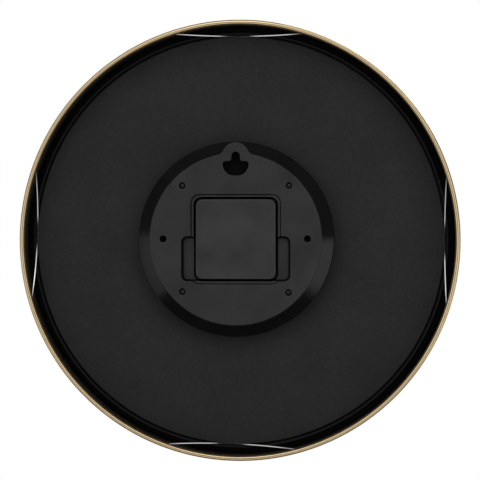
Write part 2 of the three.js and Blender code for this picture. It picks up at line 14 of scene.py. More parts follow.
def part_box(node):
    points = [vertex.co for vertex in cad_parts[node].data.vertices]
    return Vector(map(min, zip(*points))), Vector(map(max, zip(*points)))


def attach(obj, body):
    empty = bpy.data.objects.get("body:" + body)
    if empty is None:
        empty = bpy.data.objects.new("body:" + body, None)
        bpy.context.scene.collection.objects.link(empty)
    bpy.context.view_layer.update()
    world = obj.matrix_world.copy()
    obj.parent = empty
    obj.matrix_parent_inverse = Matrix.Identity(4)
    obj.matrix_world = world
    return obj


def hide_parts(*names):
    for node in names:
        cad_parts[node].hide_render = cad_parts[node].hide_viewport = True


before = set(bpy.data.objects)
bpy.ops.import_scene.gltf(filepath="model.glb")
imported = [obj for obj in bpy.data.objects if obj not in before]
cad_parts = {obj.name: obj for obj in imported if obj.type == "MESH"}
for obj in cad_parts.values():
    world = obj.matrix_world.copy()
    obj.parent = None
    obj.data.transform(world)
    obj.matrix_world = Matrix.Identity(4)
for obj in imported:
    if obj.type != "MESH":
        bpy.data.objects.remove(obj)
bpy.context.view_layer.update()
MM = 0.001


# ---- Reading the frame, in millimetres ----
def box(node):
    low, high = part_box(node)
    return low / MM, high / MM


def middle(node):
    low, high = box(node)
    return (low + high) / 2


rim_low, rim_high = box("case_rim")
ring_low, ring_high = box("inner_ring")
lens_low, lens_high = box("front_lens")
board_low, board_high = box("backing_board")
dial_low, dial_high = box("dial_plate")
housing_low, housing_high = box("back_housing")
cover_low, cover_high = box("battery_cover")

REAR_X, REAR_Z = middle("battery_cover").x, middle("battery_cover").z  # the centre of the housing
HUB_RADIUS = 4
HUB_HOLE = HUB_RADIUS + 0.3
HOUR_HOLE, MINUTE_HOLE = 2.7, 1.4  # in the hands

# ---- Outlines: lists of (x, z) points, anticlockwise seen from the front ----
FINE = math.radians(3)  # the turn between two points of an arc
SMOOTH = math.radians(9)  # a coarser step, for profiles that are turned
COARSE = math.radians(18)  # and for small edges on them


def deg(*degrees):
    return [math.radians(d) for d in degrees]


def arc(x, z, radius, start, end, step=FINE):
    count = max(2, math.ceil(abs(end - start) / step))
    angles = [start + (end - start) * i / count for i in range(count + 1)]
    return [(x + radius * math.cos(a), z + radius * math.sin(a)) for a in angles]


def rounded(corners):
    """The outline through (x, z, radius) corners, each one rounded by an arc of its own radius."""
    points = []
    for i, (x, z, radius) in enumerate(corners):
        before = Vector(corners[i - 1][:2]) - Vector((x, z))
        after = Vector(corners[(i + 1) % len(corners)][:2]) - Vector((x, z))
        before.normalize()
        after.normalize()
        half = before.angle(after) / 2
        centre = Vector((x, z)) + (before + after).normalized() * radius / math.sin(half)
        first = Vector((x, z)) + before * radius / math.tan(half) - centre
        last = Vector((x, z)) + after * radius / math.tan(half) - centre
        start = math.atan2(first.y, first.x)
        turn = (math.atan2(last.y, last.x) - start + math.pi) % (2 * math.pi) - math.pi
        points += arc(centre.x, centre.y, radius, start, start + turn)
    return points


def rounded_rect(x0, x1, z0, z1, radius):
    return rounded([(x0, z0, radius), (x1, z0, radius), (x1, z1, radius), (x0, z1, radius)])


def rounded_square(half, radius):
    return rounded_rect(-half, half, -half, half, radius)


def circle(radius, x=0, z=0, sides=96):
    return arc(x, z, radius, 0, 2 * math.pi, 2 * math.pi / sides)[:-1]


def offset(points, distance):
    """Each point of a smooth anticlockwise outline, moved outwards."""
    moved = []
    for i, (x, z) in enumerate(points):
        along = Vector(points[(i + 1) % len(points)]) - Vector(points[i - 1])
        out = Vector((along.y, -along.x)).normalized()
        moved.append((x + out.x * distance, z + out.y * distance))
    return moved


# ---- Meshes ----
def piece(name, bm, body, look, replaced=(), smooth_angle=35):
    """Makes the finished object: smooth with sharp edges, on its body, with its material."""
    bmesh.ops.remove_doubles(bm, verts=bm.verts, dist=1e-4)
    bmesh.ops.recalc_face_normals(bm, faces=bm.faces)
    bm.transform(Matrix.Scale(MM, 4))
    mesh = bpy.data.meshes.new(name)
    bm.to_mesh(mesh)
    bm.free()
    mesh.shade_smooth()
    mesh.set_sharp_from_angle(angle=math.radians(smooth_angle))
    obj = bpy.data.objects.new(name, mesh)
    bpy.context.scene.collection.objects.link(obj)
    for one in look if isinstance(look, list) else [look]:
        mesh.materials.append(one)
    normals = obj.modifiers.new("even_shading", "WEIGHTED_NORMAL")
    normals.keep_sharp = True
    normals.weight = 100
    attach(obj, body)
    if replaced:
        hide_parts(*replaced)
    return obj


def turned(profile, sides, x=0, z=0, paints=None):
    """A closed profile of (radius, y) points turned about the Y axis through (x, z).

    paints gives the material's index for each side of the profile, where there is more than one.
    """
    bm = bmesh.new()
    rings = []
    for radius, y in profile:
        if radius < 1e-6:
            rings.append([bm.verts.new((x, y, z))] * sides)
            continue
        angles = [2 * math.pi * i / sides for i in range(sides)]
        rings.append([bm.verts.new((x + radius * math.sin(a), y, z + radius * math.cos(a))) for a in angles])
    for k, ring in enumerate(rings):
        following = rings[(k + 1) % len(rings)]
        for i in range(sides):
            j = (i + 1) % sides
            corners = dict.fromkeys([ring[i], ring[j], following[j], following[i]])
            if len(corners) > 2:
                face = bm.faces.new(list(corners))
                face.material_index = paints[k] if paints else 0
    return bm


def rod(radius, front, rear, sides=32, x=0, z=0):
    return turned([(0, front), (radius, front), (radius, rear), (0, rear)], sides, x, z)


def stacked(levels):
    """A solid through a stack of levels. Each is (outline, y), and all outlines have as many points."""
    bm = bmesh.new()
    rings = [[bm.verts.new((x, y, z)) for x, z in outline] for outline, y in levels]
    for lower, upper in zip(rings, rings[1:]):
        for i in range(len(lower)):
            j = (i + 1) % len(lower)
            bm.faces.new([lower[i], lower[j], upper[j], upper[i]])
    bm.faces.new(list(reversed(rings[0])))
    bm.faces.new(rings[-1])
    return bm


def eased(radius, steps=4):
    """(inset, depth) pairs round a rounded edge, from the face down to the side."""
    if not radius:
        return [(0, 0)]
    turns = [math.pi / 2 * i / steps for i in range(steps + 1)]
    return [(radius * (1 - math.sin(t)), radius * (1 - math.cos(t))) for t in turns]


def plate(outline, front, rear, front_edge=0.0, rear_edge=0.0):
    """A flat piece from front to rear. Its two edges are rounded where they have a radius."""
    levels = [(offset(outline, -inset), front + depth) for inset, depth in eased(front_edge)]
    levels += [(offset(outline, -inset), rear - depth) for inset, depth in reversed(eased(rear_edge))]
    return stacked(levels)


def cutter(outline, floor, mouth, flare, draft=0.0, foot=0.0):
    """What a hole removes. Its walls lean in by draft down to its floor; its foot and mouth are rounded."""
    narrow = offset(outline, -draft)
    levels = [(offset(narrow, -inset), floor + depth) for inset, depth in eased(foot)]
    levels += [(offset(outline, inset), mouth - depth) for inset, depth in reversed(eased(flare))]
    levels += [(offset(outline, flare), mouth + 1)]
    return stacked(levels)


def moved(bm, x=0.0, y=0.0, z=0.0):
    bm.transform(Matrix.Translation((x, y, z)))
    return bm


def spun(bm, degrees):
    """The mesh turned about the arbor, clockwise as the dial is read."""
    bm.transform(Matrix.Rotation(math.radians(degrees), 4, "Y"))
    return bm


def temporary(bm):
    bmesh.ops.remove_doubles(bm, verts=bm.verts, dist=1e-4)
    bmesh.ops.recalc_face_normals(bm, faces=bm.faces)
    mesh = bpy.data.meshes.new("temporary")
    bm.to_mesh(mesh)
    bm.free()
    obj = bpy.data.objects.new("temporary", mesh)
    bpy.context.scene.collection.objects.link(obj)
    return obj


def combined(base, steps):
    """base, then each (operation, bmesh) of steps, where operation is UNION, DIFFERENCE or INTERSECT."""
    whole = temporary(base)
    others = []
    for operation, bm in steps:
        other = temporary(bm)
        modifier = whole.modifiers.new(operation, "BOOLEAN")
        modifier.operation = operation
        modifier.solver = "MANIFOLD"
        modifier.object = other
        others.append(other)
    bpy.context.view_layer.update()
    result = whole.evaluated_get(bpy.context.evaluated_depsgraph_get())
    bm = bmesh.new()
    bm.from_mesh(result.to_mesh())
    result.to_mesh_clear()
    for obj in [whole, *others]:
        bpy.data.objects.remove(obj)
    return bm


# ---- Materials: every one is a small procedural tree ----
class Tree:
    """A material's node tree, with short ways to add its nodes."""

    def __init__(self, name, metallic=0.0, specular=0.5):
        self.material = bpy.data.materials.new(name)
        self.material.use_nodes = True
        self.nodes = self.material.node_tree.nodes
        self.links = self.material.node_tree.links
        self.shader = self.nodes["Principled BSDF"]
        self.shader.inputs["Metallic"].default_value = metallic
        self.shader.inputs["Specular IOR Level"].default_value = specular
        self.shader.inputs["IOR"].default_value = 1.5
        self.place = self.add("ShaderNodeTexCoord").outputs["Object"]

    def add(self, kind, values=(), **settings):
        node = self.nodes.new(kind)
        for key, value in settings.items():
            setattr(node, key, value)
        for key, value in dict(values).items():
            if isinstance(value, bpy.types.NodeSocket):
                self.links.new(value, node.inputs[key])
            else:
                node.inputs[key].default_value = value
        return node

    def noise(self, scale, detail=3.0, roughness=0.55, vector=None):
        values = {"Vector": vector or self.place, "Scale": scale, "Detail": detail, "Roughness": roughness}
        return self.add("ShaderNodeTexNoise", values).outputs["Fac"]

    def remap(self, value, low, high, start=0.3, end=0.7):
        values = {"Value": value, "From Min": start, "From Max": end, "To Min": low, "To Max": high}
        return self.add("ShaderNodeMapRange", values).outputs["Result"]

    def maths(self, operation, a, b=0.0):
        return self.add("ShaderNodeMath", {0: a, 1: b}, operation=operation).outputs[0]

    def mixed(self, share, first, second):
        node = self.add("ShaderNodeMix", {0: share, 6: first, 7: second}, data_type="RGBA")
        return node.outputs[2]

    def drive(self, socket, value):
        self.links.new(value, self.shader.inputs[socket])

    def bump(self, height, depth):
        values = {"Height": height, "Distance": depth * MM, "Strength": 1.0}
        self.drive("Normal", self.add("ShaderNodeBump", values).outputs["Normal"])


def grey(value, warm=0.0):
    return (value * (1 + warm), value, value * (1 - warm), 1)


def tinted(colour, factor):
    return (colour[0] * factor, colour[1] * factor, colour[2] * factor, 1)


def moulded(name, value, roughness, grain=0.004, mottle=0.12, specular=0.4, warm=0.0):
    """Moulded or painted plastic: a fine spark grain, and faint cloudiness from the moulding."""
    tree = Tree(name, specular=specular)
    clouds = tree.noise(45, detail=4)
    dark, light = grey(value * (1 - mottle), warm), grey(value * (1 + mottle), warm)
    tree.drive("Base Color", tree.mixed(tree.remap(clouds, 0, 1), dark, light))
    tree.drive("Roughness", tree.remap(clouds, roughness - 0.05, roughness + 0.05))
    tree.bump(tree.noise(2600, detail=2), grain)
    return tree.material


def metal(name, colour, roughness, grain=0.002, tarnish=0.08):
    """Plain metal with fine grain and slightly uneven colour."""
    tree = Tree(name, metallic=1.0)
    patches = tree.remap(tree.noise(120, detail=5), 0, 1)
    tree.drive("Base Color", tree.mixed(patches, tinted(colour, 1 - tarnish), tinted(colour, 1)))
    tree.drive("Roughness", tree.remap(tree.noise(700), roughness - 0.06, roughness + 0.06))
    tree.bump(tree.noise(1800, detail=2), grain)
    return tree.material


def around_axis(tree, radial, axial, turn):
    """Coordinates for lines that run round the arbor: radius, depth and a share of the angle."""
    split = tree.add("ShaderNodeSeparateXYZ", {"Vector": tree.place})
    x, y, z = split.outputs
    radius = tree.maths("SQRT", tree.maths("ADD", tree.maths("MULTIPLY", x, x), tree.maths("MULTIPLY", z, z)))
    angle = tree.maths("ARCTAN2", x, z)
    parts = {
        "X": tree.maths("MULTIPLY", radius, radial),
        "Y": tree.maths("MULTIPLY", y, axial),
        "Z": tree.maths("MULTIPLY", angle, turn),
    }
    return tree.add("ShaderNodeCombineXYZ", parts).outputs["Vector"]


GOLD = (0.88, 0.66, 0.365)


def satin_gold(name):
    """Champagne lacquer on spun metal, with fine lines that run round the drum."""
    tree = Tree(name, metallic=1.0)
    lines = tree.noise(1.0, detail=2, vector=around_axis(tree, 5200, 5200, 3))
    clouds = tree.remap(tree.noise(60, detail=4), 0, 1)
    tree.drive("Base Color", tree.mixed(clouds, tinted(GOLD, 0.93), tinted(GOLD, 1.0)))
    tree.drive("Roughness", tree.remap(lines, 0.28, 0.34))
    tree.bump(lines, 0.0002)
    return tree.material


def inner_paint(name):
    """Black paint inside the drum, with a painted reflection of the gold bead: a thin gold tint that grows
    towards the rolled edge.
    """
    tree = Tree(name, specular=0.5)
    split = tree.add("ShaderNodeSeparateXYZ", {"Vector": tree.place})
    deep, edge = (rim_high.y - 30) * MM, (rim_high.y - 1) * MM
    lip_reflection_fade = tree.remap(split.outputs["Y"], 0, 1, deep, edge)
    # painted reflection: the gold bead's glow on the black wall, faded in towards the lip
    bead_reflection = tree.maths("MULTIPLY", lip_reflection_fade, tree.remap(tree.noise(500), 0.08, 0.28))
    tree.drive("Base Color", tree.mixed(bead_reflection, (0.016, 0.013, 0.0095, 1), tinted(GOLD, 0.5)))
    tree.drive("Roughness", tree.remap(tree.noise(250), 0.36, 0.5))
    tree.bump(tree.noise(1500), 0.004)
    return tree.material


def hardboard(name):
    """Dyed hardboard: felted fibres that show as fine mottling."""
    tree = Tree(name, specular=0.25)
    fibres = tree.noise(480, detail=6, roughness=0.75)
    clouds = tree.noise(25, detail=3)
    blend = tree.maths("ADD", tree.maths("MULTIPLY", fibres, 0.75), tree.maths("MULTIPLY", clouds, 0.25))
    tree.drive("Base Color", tree.mixed(tree.remap(blend, 0, 1, 0.4, 0.6), grey(0.0180), grey(0.0290)))
    tree.drive("Roughness", tree.remap(fibres, 0.72, 0.9))
    tree.bump(fibres, 0.02)
    return tree.material


def clear_glass(name):
    """Float glass: clear, with a mirror sheen that grows at a glancing angle."""
    tree = Tree(name, specular=0.5)
    tree.shader.inputs["Base Color"].default_value = (0.05, 0.07, 0.06, 1)
    tree.shader.inputs["Alpha"].default_value = 0.1
    tree.drive("Roughness", tree.remap(tree.noise(80), 0.01, 0.03))
    return tree.material


def dial_print(name):
    """Matte black printing on card."""
    tree = Tree(name, specular=0.2)
    tree.drive("Base Color", tree.mixed(tree.noise(1400, detail=4), grey(0.008), grey(0.013)))
    tree.drive("Roughness", tree.remap(tree.noise(400), 0.55, 0.7))
    tree.bump(tree.noise(2200), 0.001)
    return tree.material


def wound_wire(name):
    """Varnished copper wire: turns side by side along the coil, which lies along X."""
    tree = Tree(name, metallic=1.0)
    waves = tree.add("ShaderNodeTexWave", {"Vector": tree.place, "Scale": 1400, "Distortion": 0.6})
    tree.drive("Base Color", tree.mixed(waves.outputs["Fac"], (0.35, 0.12, 0.05, 1), (0.72, 0.31, 0.14, 1)))
    tree.drive("Roughness", tree.remap(waves.outputs["Fac"], 0.25, 0.4, 0, 1))
    tree.bump(waves.outputs["Fac"], 0.05)
    return tree.material


def battery_print(name):
    """A plain cell: a dark printed sleeve, and a copper band at its positive end."""
    tree = Tree(name, metallic=0.6)
    split = tree.add("ShaderNodeSeparateXYZ", {"Vector": tree.place})
    band_start = box("battery")[1].x - 16
    band = tree.remap(split.outputs["X"], 0, 1, band_start * MM, (band_start + 0.05) * MM)
    sleeve = tree.mixed(tree.noise(90), (0.035, 0.04, 0.046, 1), (0.045, 0.05, 0.056, 1))
    tree.drive("Base Color", tree.mixed(band, sleeve, (0.50, 0.24, 0.10, 1)))
    tree.drive("Roughness", tree.remap(tree.noise(350), 0.25, 0.35))
    return tree.material


def laminate(name):
    """Green solder mask over glass fibre cloth."""
    tree = Tree(name, specular=0.5)
    weave = tree.add("ShaderNodeTexChecker", {"Vector": tree.place, "Scale": 2500}).outputs["Fac"]
    tree.drive("Base Color", tree.mixed(weave, (0.012, 0.09, 0.03, 1), (0.015, 0.11, 0.04, 1)))
    tree.drive("Roughness", tree.remap(tree.noise(400), 0.3, 0.45))
    return tree.material


rim_gold = satin_gold("rim_gold")
rim_black = inner_paint("rim_black")
ring_plastic = moulded("ring_plastic", 0.004, 0.5, specular=0.25)
board_face = hardboard("board_face")
housing_plastic = moulded("housing_plastic", 0.008, 0.42, grain=0.006, specular=0.75)
polished_plastic = moulded("polished_plastic", 0.003, 0.2, grain=0.001, specular=0.6)
cover_plastic = moulded("cover_plastic", 0.011, 0.42, grain=0.006, specular=0.9, warm=0.01)
case_plastic = moulded("case_plastic", 0.012, 0.45)
spring_steel = metal("spring_steel", (0.62, 0.62, 0.61), 0.12)
screw_black = metal("screw_black", (0.07, 0.07, 0.07), 0.2)
# a darker, duller copy of the screw metal for the deep side bores: painted shade, so that those holes read
# black
shaded_screw = metal("shaded_screw", (0.03, 0.03, 0.03), 0.4)
# a darker, dull copy of the housing's black plastic: painted shade for upright walls and the space behind the
# keyhole
shade_painted_plastic = moulded("shade_painted_plastic", 0.003, 0.8, specular=0.12)
glass = clear_glass("lens_glass")
dial_black = dial_print("dial_black")
hand_gold = metal("hand_gold", GOLD, 0.25, grain=0.0004)
brass = metal("brass", (0.68, 0.50, 0.24), 0.3, tarnish=0.2)
nickel = metal("nickel", (0.72, 0.70, 0.66), 0.18)
magnet = metal("magnet_steel", (0.30, 0.30, 0.31), 0.4)
punched_steel = metal("punched_steel", (0.55, 0.56, 0.58), 0.35)
acetal = moulded("acetal", 0.72, 0.35, mottle=0.03, specular=0.5)
rubber = moulded("rubber", 0.012, 0.8, specular=0.2)
copper_wire = wound_wire("copper_wire")
cell_print = battery_print("cell_print")
green_board = laminate("green_board")


# ---- The drum and what it holds ----
WALL_INSIDE = 150.9
WALL_SET_IN = 0.5  # the wall's outside, in from the bead's
FRONT_CORNER = 2.2
LIP, LIP_EDGE, LIP_THICK = 145, 1.2, 1.4
BEAD = 1.75
BEAD_END = math.radians(262)  # how far it is rolled
GOLD_SHARE = 0.53  # of the bead, from the outside over its top


def add_rim():
    """The drum: a front bezel, the wall, and a rear edge rolled into a bead. Black paint inside."""
    front = rim_low.y
    wall_outside = rim_high.x - WALL_SET_IN
    bead_x, bead_y = rim_high.x - BEAD, rim_high.y - BEAD
    bead_start = -math.acos((wall_outside - bead_x) / BEAD)
    bezel = arc(LIP + LIP_EDGE, front + LIP_EDGE, LIP_EDGE, *deg(180, 270), SMOOTH)
    corner = arc(wall_outside - FRONT_CORNER, front + FRONT_CORNER, FRONT_CORNER, *deg(270, 360), SMOOTH)
    bead = arc(bead_x, bead_y, BEAD, bead_start, BEAD_END, SMOOTH / 2)
    inside = [(WALL_INSIDE, bead_y - BEAD - 0.1), (WALL_INSIDE, front + LIP_THICK), (LIP, front + LIP_THICK)]
    profile = bezel + corner + bead + inside
    gold_sides = len(bezel) + len(corner) + round(len(bead) * GOLD_SHARE)
    paints = [0 if i < gold_sides else 1 for i in range(len(profile))]
    paints[-1] = 0
    drum = turned(profile, 432, paints=paints)
    piece("case_drum", drum, "case", [rim_gold, rim_black], ["case_rim"])


def add_ring():
    """The black plastic ring: a sloping reflector in front of the dial, and a wall round the board."""
    front, rear, edge, flange, thick = ring_low.y, ring_high.y, 0.45, 1.5, 2.1
    reflector, ledge, inside, outside = 141.5, 138.5, 144.2, 146
    seat = dial_low.y - 0.3
    step = -5.8  # where the reflector meets the wall
    profile = [(reflector, front), (ring_high.x, front)]
    profile += [(ring_high.x, front + flange), (reflector + thick, front + flange)]
    profile += [(ledge + thick, step), (outside, step)]
    profile += arc(outside - edge, rear - edge, edge, *deg(0, 90), COARSE)
    profile += arc(inside + edge, rear - edge, edge, *deg(90, 180), COARSE)
    profile += [(inside, seat), (ledge, seat)]
    piece("inner_ring_moulding", turned(profile, 288), "case", ring_plastic, ["inner_ring"])


def disc_profile(inner, outer, front, rear, edge):
    """The profile of a disc whose outer edges are rounded, with a hole unless inner is 0."""
    profile = [(inner, front)] + arc(outer - edge, front + edge, edge, *deg(270, 360), COARSE)
    return profile + arc(outer - edge, rear - edge, edge, *deg(0, 90), COARSE) + [(inner, rear)]


def add_discs():
    board = disc_profile(HUB_HOLE, board_high.x, board_low.y, board_high.y, 0.35)
    piece("backing_panel", turned(board, 288), "case", board_face, ["backing_board"])
    dial = disc_profile(HUB_HOLE, dial_high.x, dial_low.y, dial_high.y, 0.1)
    piece("dial_face", turned(dial, 288), "case", dial_black, ["dial_plate"])
    lens = disc_profile(0, lens_high.x, lens_low.y, lens_high.y, 0.3)
    piece("lens", turned(lens, 288), "case", glass, ["front_lens"])


STRIP_TURNS = {"top": 0, "right": 88.2, "bottom": 177.9, "left": 270}
STRIP_SHARE = 0.65  # of the spring's width


def add_strip(side, turn):
    """A bowed spring leaf. Its ends catch under the rolled edge and its middle bears on the board."""
    low, high = box("retaining_strip_top")
    half, thick, width = high.x, 0.5, STRIP_SHARE * (high.z - low.z)
    rise = high.y - thick - low.y
    section = rounded_rect(-width / 2, width / 2, 0, thick, 0.03)
    steps = 72
    bm = bmesh.new()
    rings = []
    for i in range(steps + 1):
        x = half * (2 * i / steps - 1)
        y = low.y + rise * (x / half) ** 2
        rings.append([bm.verts.new((x, y + v, (low.z + high.z) / 2 + u)) for u, v in section])
    for one, other in zip(rings, rings[1:]):
        for i in range(len(section)):
            j = (i + 1) % len(section)
            bm.faces.new([one[i], one[j], other[j], other[i]])
    bm.faces.new(rings[0])
    bm.faces.new(rings[-1])
    node = "retaining_strip_" + side
    piece("spring_strip_" + side, spun(bm, turn), "case", spring_steel, [node])


# ---- The rear housing, in its own place off the arbor ----
BASE, SHOULDER, DROP, DISC = 68.4, 67.9, 7.2, 59.6
EAR, EAR_Z, FILLET = 9.3, 57.8, 7
SHELL = 2  # the housing's wall
RIB = 1.5  # the walls of what stands inside it
POCKET_HALF, POCKET_LOW, POCKET_HIGH, POCKET_FLOOR, POCKET_CORNER = 11.5, 43, 68.5, 11.5, 1.5
WELL, WELL_CORNER = 29.2, 5.5
REBATE, REBATE_DEPTH = 31.2, 1.2
GRIP_X, GRIP_LOW, GRIP_HIGH, GRIP_FLOOR = 37.7, -29.1, 2, 13.5
CORNER_SCREWS = [(37, 37), (37, -36.4), (-36.5, -36.8), (-36.8, 37)]
SIDE_SCREWS = {"right": (50.3, 0.2), "left": (-49.5, 0.2)}
SCREW_HEAD, SCREW_BORE, SCREW_HOLE, SCREW_POST = 1.8, 2.25, 1.3, 3.3
RIDGES = [(5.3, 16.4), (-11.3, -0.9)]
RIDGE_LOW, RIDGE_HIGH = -47.2, -46.6
CORNER_SEAT, SIDE_SEAT = housing_high.y - 2, housing_high.y - 7


def ear_outline(inset=0.0):
    """The disc with its ear: the ear's arc is joined to the disc's by a concave fillet on each side."""
    far, near = DISC + FILLET, EAR + FILLET
    z = (far**2 - near**2 + EAR_Z**2) / (2 * EAR_Z)
    x = math.sqrt(far**2 - z**2)
    on_disc = math.atan2(z, x)
    on_ear = math.atan2(z - EAR_Z, x)
    step = math.radians(1.5)
    points = arc(0, 0, DISC - inset, math.pi - on_disc, 2 * math.pi + on_disc, step)[:-1]
    points += arc(x, z, FILLET + inset, on_disc + math.pi, on_ear + math.pi, step * 3)[:-1]
    points += arc(0, EAR_Z, EAR - inset, on_ear, math.pi - on_ear, step * 3)[:-1]
    points += arc(-x, z, FILLET + inset, -on_ear, -on_disc, step * 3)[:-1]
    return points


def keyhole_outline():
    """A wide entry with a round foot, and the slot that stands on it."""
    slot, slot_top, wide, shoulder, bottom = 2.95, 60.35, 8.86, 53.9, 43.94
    foot, outer, neck, top = 8, 1.9, 1.8, slot * 0.98
    right = [(wide, bottom, foot), (wide, shoulder, outer), (slot, shoulder, neck), (slot, slot_top, top)]
    left = [(-x, z, radius) for x, z, radius in reversed(right)]
    return rounded(left[-1:] + right + left[:-1])


def pocket_part(grow, floor, rear, ear_inset):
    """The space behind the keyhole, or the block round it, larger by grow. The ear's outline bounds both."""
    half, low, high = POCKET_HALF + grow, POCKET_LOW - grow, POCKET_HIGH + grow / 3
    space = plate(rounded_rect(-half, half, low, high, POCKET_CORNER + grow / 3), floor, rear)
    ear = plate(ear_outline(ear_inset), housing_low.y, housing_high.y)
    return combined(space, [("INTERSECT", ear)])


def ridge(left, right):
    """A low raised line on the disc, under the cover's well."""
    rear = housing_high.y
    outline = rounded_rect(left, right, RIDGE_LOW, RIDGE_HIGH, 0.25)
    return plate(outline, rear - 0.5, rear + 0.12, rear_edge=0.11)


def housing_mesh():
    """The housing about its own centre: cone, disc and ear, hollow, then with its inner walls and holes."""
    front, rear = housing_low.y, housing_high.y
    inside = rear - SHELL
    joined = rear - 0.8  # where the inner walls end, inside the face
    cone_top = rear - 0.7  # under the disc's rounded edge
    well_floor = rear - REBATE_DEPTH
    shoulder_y = rear - DROP
    cone = [(0, front), (BASE, front)]
    cone += arc(SHOULDER - 0.6, shoulder_y - 0.25, 0.6, *deg(0, 44), math.radians(11))
    cone += [(DISC + 0.15, cone_top), (DISC - 0.5, cone_top), (0, cone_top)]
    hollow = [(0, front - 1), (BASE - SHELL, front - 1), (BASE - SHELL, front + 1)]
    hollow += [(SHOULDER - SHELL, shoulder_y - 1), (DISC - SHELL, inside), (0, inside)]
    grips = rounded_rect(-GRIP_X, GRIP_X, GRIP_LOW, GRIP_HIGH, 4.3)
    grip_walls = rounded_rect(-GRIP_X - RIB, GRIP_X + RIB, GRIP_LOW - RIB, GRIP_HIGH + RIB, 4.3 + RIB)
    rebate = rounded_square(REBATE, WELL_CORNER + 0.6)
    steps = [
        ("UNION", plate(ear_outline(), front, rear, rear_edge=0.5)),
        ("DIFFERENCE", turned(hollow, 240)),
        ("DIFFERENCE", plate(ear_outline(SHELL), front - 1.5, inside)),
        ("UNION", pocket_part(RIB, POCKET_FLOOR - RIB, joined, 0.3)),
        ("DIFFERENCE", pocket_part(0, POCKET_FLOOR, inside, SHELL)),
        ("UNION", plate(rounded_square(WELL + RIB, WELL_CORNER + RIB), 9, joined)),
        ("UNION", plate(grip_walls, GRIP_FLOOR - RIB, joined)),
    ]
    screws = [(x, z, CORNER_SEAT) for x, z in CORNER_SCREWS]
    screws += [(x, z, SIDE_SEAT) for x, z in SIDE_SCREWS.values()]
    steps += [("UNION", rod(SCREW_POST, front, joined, x=x, z=z)) for x, z, _ in screws]
    steps += [("UNION", ridge(left, right)) for left, right in RIDGES]
    steps += [
        ("DIFFERENCE", cutter(rebate, well_floor, rear, flare=0.15, draft=0.7)),
        ("DIFFERENCE", cutter(rounded_square(WELL, WELL_CORNER), 8, well_floor, flare=0.15)),
        ("DIFFERENCE", cutter(grips, GRIP_FLOOR, rear, flare=0.35, draft=1.3, foot=0.3)),
        ("DIFFERENCE", cutter(keyhole_outline(), inside - 1, rear, flare=0.3)),
    ]
    for x, z, seat in screws:
        steps.append(("DIFFERENCE", rod(SCREW_HOLE, front - 1, seat + 0.5, x=x, z=z)))
        steps.append(("DIFFERENCE", cutter(circle(SCREW_BORE, x, z, 48), seat, rear, flare=0.6)))
    return combined(turned(cone, 240), steps)


def in_pocket(point):
    """Whether a point of the housing is on the walls or the floor behind the keyhole, where shade is painted
    in.
    """
    behind = POCKET_FLOOR - 0.5 < point.y < housing_high.y - SHELL + 0.1
    within = abs(point.x) < POCKET_HALF + 0.2 and point.z > POCKET_LOW - 0.1
    return behind and within and math.hypot(point.x, point.z) < 62


def add_housing():
    """The housing, with a polished cone and dull upright walls. The upright walls and the space behind the
    keyhole take a darker copy of its plastic, which paints in their shade.
    """
    mesh = housing_mesh()
    mesh.normal_update()
    for face in mesh.faces:
        upright = abs(face.normal.y) < 0.45
        sloping = face.normal.y < 0.97
        # upright walls and the pocket behind the keyhole get the darker copy, which is painted shade
        face.material_index = 2 if upright or in_pocket(face.calc_center_median()) else int(sloping)
    moved(mesh, REAR_X, 0, REAR_Z)
    looks = [housing_plastic, polished_plastic, shade_painted_plastic]
    piece("rear_cap", mesh, "case", looks, ["back_housing"], smooth_angle=32)


def add_cover():
    """The battery cover: a shallow tray with a softly rounded face."""
    half, corner, wall = (cover_high.x - cover_low.x) / 2, 5, 1.4
    shell = plate(rounded_square(half, corner), cover_low.y, cover_high.y, rear_edge=0.7)
    inside = plate(rounded_square(half - wall, corner - wall), cover_low.y - 1, cover_high.y - wall)
    mesh = moved(combined(shell, [("DIFFERENCE", inside)]), REAR_X, 0, REAR_Z)
    piece("cover_plate", mesh, "cover", cover_plastic, ["battery_cover"])


def add_screw(name, node, x, z, seat, look):
    """A button-head screw with a cross recess, seen down its bore."""
    start, shank, rim, rise = housing_low.y - 2.4, 1, 0.35, 0.95
    dome = (SCREW_HEAD**2 + rise**2) / (2 * rise)  # the radius of the head's curve
    centre = seat + rim + rise - dome
    lean = math.asin(SCREW_HEAD / dome)
    head = [(dome * math.sin(lean * k / 8), centre + dome * math.cos(lean * k / 8)) for k in range(8, -1, -1)]
    profile = [(0, start), (shank, start), (shank, seat + 0.05), (SCREW_HEAD, seat + 0.05)] + head
    arm, blade, top = SCREW_HEAD * 0.6, 0.28, seat + rim + rise
    bars = [rounded_rect(-arm, arm, -blade, blade, 0.15), rounded_rect(-blade, blade, -arm, arm, 0.15)]
    cross = [("DIFFERENCE", plate(bar, top - 0.9, top + 1)) for bar in bars]
    mesh = combined(turned(profile, 48), cross)
    piece(name, moved(mesh, x + REAR_X, 0, z + REAR_Z), "case", look, [node])


# ---- The dial side ----
TRACK_OUTER = 137
BATON_OUTER = 132
SHOWN_TIME = {"hour": 10, "minute": 10, "second": 35}
HAND_TURN = {
    "hour": 30 * (SHOWN_TIME["hour"] + SHOWN_TIME["minute"] / 60 + SHOWN_TIME["second"] / 3600),
    "minute": 6 * (SHOWN_TIME["minute"] + SHOWN_TIME["second"] / 60),
    "second": 6 * SHOWN_TIME["second"],
}


def add_markers():
    """Applied batons with rounded edges, wider and longer at the quarters."""
    for hour in range(1, 13):
        node = "hour_marker_%d" % hour
        half, inner = (2.6, 110) if hour % 3 == 0 else (1.6, 118)
        outline = rounded_rect(-half, half, inner, BATON_OUTER, 0.4)
        low, high = box(node)
        bar = plate(outline, low.y, high.y, front_edge=0.38)
        piece("baton_%d" % hour, spun(bar, hour * 30), "case", hand_gold, [node])


